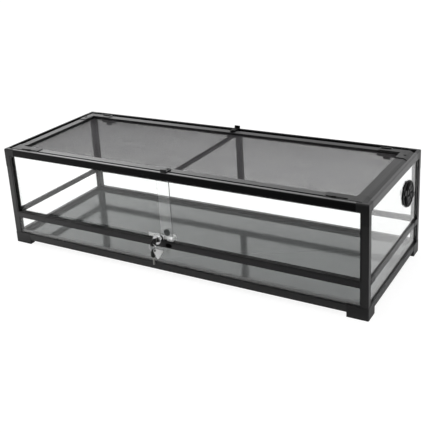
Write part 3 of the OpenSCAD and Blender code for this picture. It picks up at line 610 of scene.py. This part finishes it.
def vent_rings():
    """Moulded rings on the turning dial of the vent."""
    low, high = corners("vent_shutter")
    hub = high.x / MM
    toward_right = Matrix(((0, 0, 1), (1, 0, 0), (0, 1, 0))).to_4x4()
    centre = (low + high) / 2
    dial = bmesh.new()
    for inner, outer, drop, height in DIAL_RINGS:
        ring = flat_ring(inner, outer, height, min(RING_ROUNDING, 0.4 * height))
        place = Matrix.Translation(((hub - drop) * MM, centre.y, centre.z)) @ toward_right
        bmesh.ops.transform(ring, matrix=place, verts=ring.verts)
        join_into(dial, ring)
    piece_from(dial, "vent_dial_rings", VENT, "vent_dial")


# ---------- studio ----------
def link_all(links, *pairs):
    """Links each output to its input."""
    for source, target in pairs:
        links.new(source, target)


def maths(nodes, links, operation, *values):
    """One arithmetic node; a value is a number or another node's output."""
    node = nodes.new("ShaderNodeMath")
    node.operation = operation
    for socket, value in zip(node.inputs, values):
        if isinstance(value, (int, float)):
            socket.default_value = value
        else:
            links.new(value, socket)
    return node.outputs[0]


def stepped(nodes, links, value, points):
    """A level that eases from one (place, level) point to the next."""
    total = points[0][1]
    for (start, low), (end, high) in zip(points, points[1:]):
        step = nodes.new("ShaderNodeMapRange")
        step.interpolation_type = "SMOOTHSTEP"
        step.inputs["From Min"].default_value = start
        step.inputs["From Max"].default_value = end
        step.inputs["To Min"].default_value = 0.0
        step.inputs["To Max"].default_value = high - low
        links.new(value, step.inputs["Value"])
        total = maths(nodes, links, "ADD", total, step.outputs["Result"])
    return total


def mirrored_only(nodes, links, path):
    """One for a mirrored ray, nought for one that has come through glass."""
    straight = maths(nodes, links, "SUBTRACT", 1.0, path.outputs["Is Transmission Ray"])
    return maths(nodes, links, "MULTIPLY", path.outputs["Is Glossy Ray"], straight)


def studio_world():
    """A white room with one level, mirrored as a room with a broad bright wall at the back left."""
    world = bpy.data.worlds.new("studio")
    bpy.context.scene.world = world
    world.use_nodes = True
    nodes, links = world.node_tree.nodes, world.node_tree.links
    nodes.clear()
    path = nodes.new("ShaderNodeLightPath")
    place = nodes.new("ShaderNodeTexCoord")
    split = nodes.new("ShaderNodeSeparateXYZ")
    links.new(place.outputs["Generated"], split.inputs[0])
    west = maths(nodes, links, "MULTIPLY", split.outputs["X"], -1.0)
    turn = maths(nodes, links, "ARCTAN2", west, split.outputs["Y"])
    degrees = maths(nodes, links, "MULTIPLY", turn, math.degrees(1.0))
    wall = stepped(nodes, links, degrees, WALL_GLOW)
    level = maths(nodes, links, "MULTIPLY", mirrored_only(nodes, links, path), wall)
    seen = maths(nodes, links, "MAXIMUM", path.outputs["Is Camera Ray"], level)
    through = maths(nodes, links, "MULTIPLY", path.outputs["Is Transmission Ray"], THROUGH_GLASS)
    shown = maths(nodes, links, "MAXIMUM", seen, through)
    backdrop = nodes.new("ShaderNodeBackground")
    backdrop.inputs["Color"].default_value = (1, 1, 1, 1)
    links.new(maths(nodes, links, "MAXIMUM", shown, ROOM_LIGHT), backdrop.inputs["Strength"])
    out = nodes.new("ShaderNodeOutputWorld")
    links.new(backdrop.outputs[0], out.inputs["Surface"])


def plane_at(name, size, centre, material):
    """A flat piece of the studio."""
    bm = bmesh.new()
    bmesh.ops.create_grid(bm, x_segments=1, y_segments=1, size=0.5)
    bmesh.ops.scale(bm, vec=(size[0], size[1], 1), verts=bm.verts)
    bmesh.ops.translate(bm, vec=centre, verts=bm.verts)
    plane = piece_from(bm, name, material, smooth=False)


def studio_floor():
    """A pale floor that keeps a light shadow; mirrored, it runs out into a dark room in front."""
    material = bpy.data.materials.new("pale_floor")
    material.use_nodes = True
    nodes, links = material.node_tree.nodes, material.node_tree.links
    nodes.clear()
    path = nodes.new("ShaderNodeLightPath")
    place = nodes.new("ShaderNodeTexCoord")
    split = nodes.new("ShaderNodeSeparateXYZ")
    links.new(place.outputs["Object"], split.inputs[0])
    front = stepped(nodes, links, split.outputs["X"], FRONT_GLOW)
    side = stepped(nodes, links, split.outputs["Y"], FRONT_PART)
    rest = maths(nodes, links, "SUBTRACT", 1.0, side)
    mixed = maths(nodes, links, "ADD", maths(nodes, links, "MULTIPLY", front, side),
                  maths(nodes, links, "MULTIPLY", rest, BACK_GLOW))
    reach = stepped(nodes, links, split.outputs["Y"], DARK_FRONT)
    mirrored = maths(nodes, links, "MULTIPLY", mixed, reach)
    glossy = mirrored_only(nodes, links, path)
    plain = maths(nodes, links, "SUBTRACT", 1.0, glossy)
    colour = maths(nodes, links, "ADD", maths(nodes, links, "MULTIPLY", plain, FLOOR_COLOUR),
                   maths(nodes, links, "MULTIPLY", glossy, mirrored))
    matt = nodes.new("ShaderNodeBsdfDiffuse")
    links.new(colour, matt.inputs["Color"])
    through = path.outputs["Is Transmission Ray"]
    seen = maths(nodes, links, "MAXIMUM", path.outputs["Is Camera Ray"], through)
    part = maths(nodes, links, "MAXIMUM", maths(nodes, links, "MULTIPLY", seen, FLOOR_WHITE),
                 maths(nodes, links, "MULTIPLY", glossy, MIRRORED_SHARE))
    behind = maths(nodes, links, "MULTIPLY", through, GLASS_SHARE * (THROUGH_GLASS - 1.0))
    strength = maths(nodes, links, "ADD", maths(nodes, links, "MULTIPLY", plain, FLOOR_GLOW),
                     maths(nodes, links, "MULTIPLY", glossy, mirrored))
    strength = maths(nodes, links, "ADD", strength, behind)
    glow = nodes.new("ShaderNodeEmission")
    links.new(strength, glow.inputs["Strength"])
    blend = nodes.new("ShaderNodeMixShader")
    out = nodes.new("ShaderNodeOutputMaterial")
    link_all(links, (part, blend.inputs["Fac"]), (matt.outputs[0], blend.inputs[1]),
             (glow.outputs[0], blend.inputs[2]), (blend.outputs[0], out.inputs["Surface"]))
    plane_at("studio_floor", FLOOR_SIZE, (0, 0, -FLOOR_DROP), material)


def soft_lamp(name, at, towards, size, power):
    """A rectangular lamp that neither the camera nor the gloss sees."""
    lamp = bpy.data.lights.new(name, "AREA")
    lamp.shape = "RECTANGLE"
    lamp.size, lamp.size_y = size
    lamp.energy = power
    holder = bpy.data.objects.new(name, lamp)
    bpy.context.scene.collection.objects.link(holder)
    holder.location = at
    holder.rotation_euler = (Vector(towards) - Vector(at)).to_track_quat("-Z", "Y").to_euler()
    holder.visible_camera = False
    holder.visible_glossy = False


def studio_camera():
    """The camera from its place, turn, dip and roll."""
    forward = Vector((-math.sin(CAMERA_TURN) * math.cos(CAMERA_DIP),
                      math.cos(CAMERA_TURN) * math.cos(CAMERA_DIP), -math.sin(CAMERA_DIP)))
    level = Vector((math.cos(CAMERA_TURN), math.sin(CAMERA_TURN), 0))
    upright = level.cross(forward)
    right = math.cos(CAMERA_ROLL) * level + math.sin(CAMERA_ROLL) * upright
    up = -math.sin(CAMERA_ROLL) * level + math.cos(CAMERA_ROLL) * upright
    lens = bpy.data.cameras.new("studio_camera")
    lens.lens = LENS_MM
    lens.sensor_width = 36
    lens.shift_y = VIEW_SHIFT_Y
    camera = bpy.data.objects.new("studio_camera", lens)
    bpy.context.scene.collection.objects.link(camera)
    facing = Matrix((right, up, -forward)).transposed().to_4x4()
    camera.matrix_world = Matrix.Translation(CAMERA_AT) @ facing
    bpy.context.scene.camera = camera


dress_nodes()
woven_screen()
keys()
split_ring()
barrel_trim()
edge_guard()
door_bumper()
sill_dark_oval()
vent_rings()
lid_fasteners()
studio_world()
studio_floor()
soft_lamp("top_softbox", LAMP_AT, LAMP_TOWARDS, LAMP_SIZE, LAMP_WATTS)
studio_camera()
bpy.context.scene.view_settings.view_transform = "Standard"
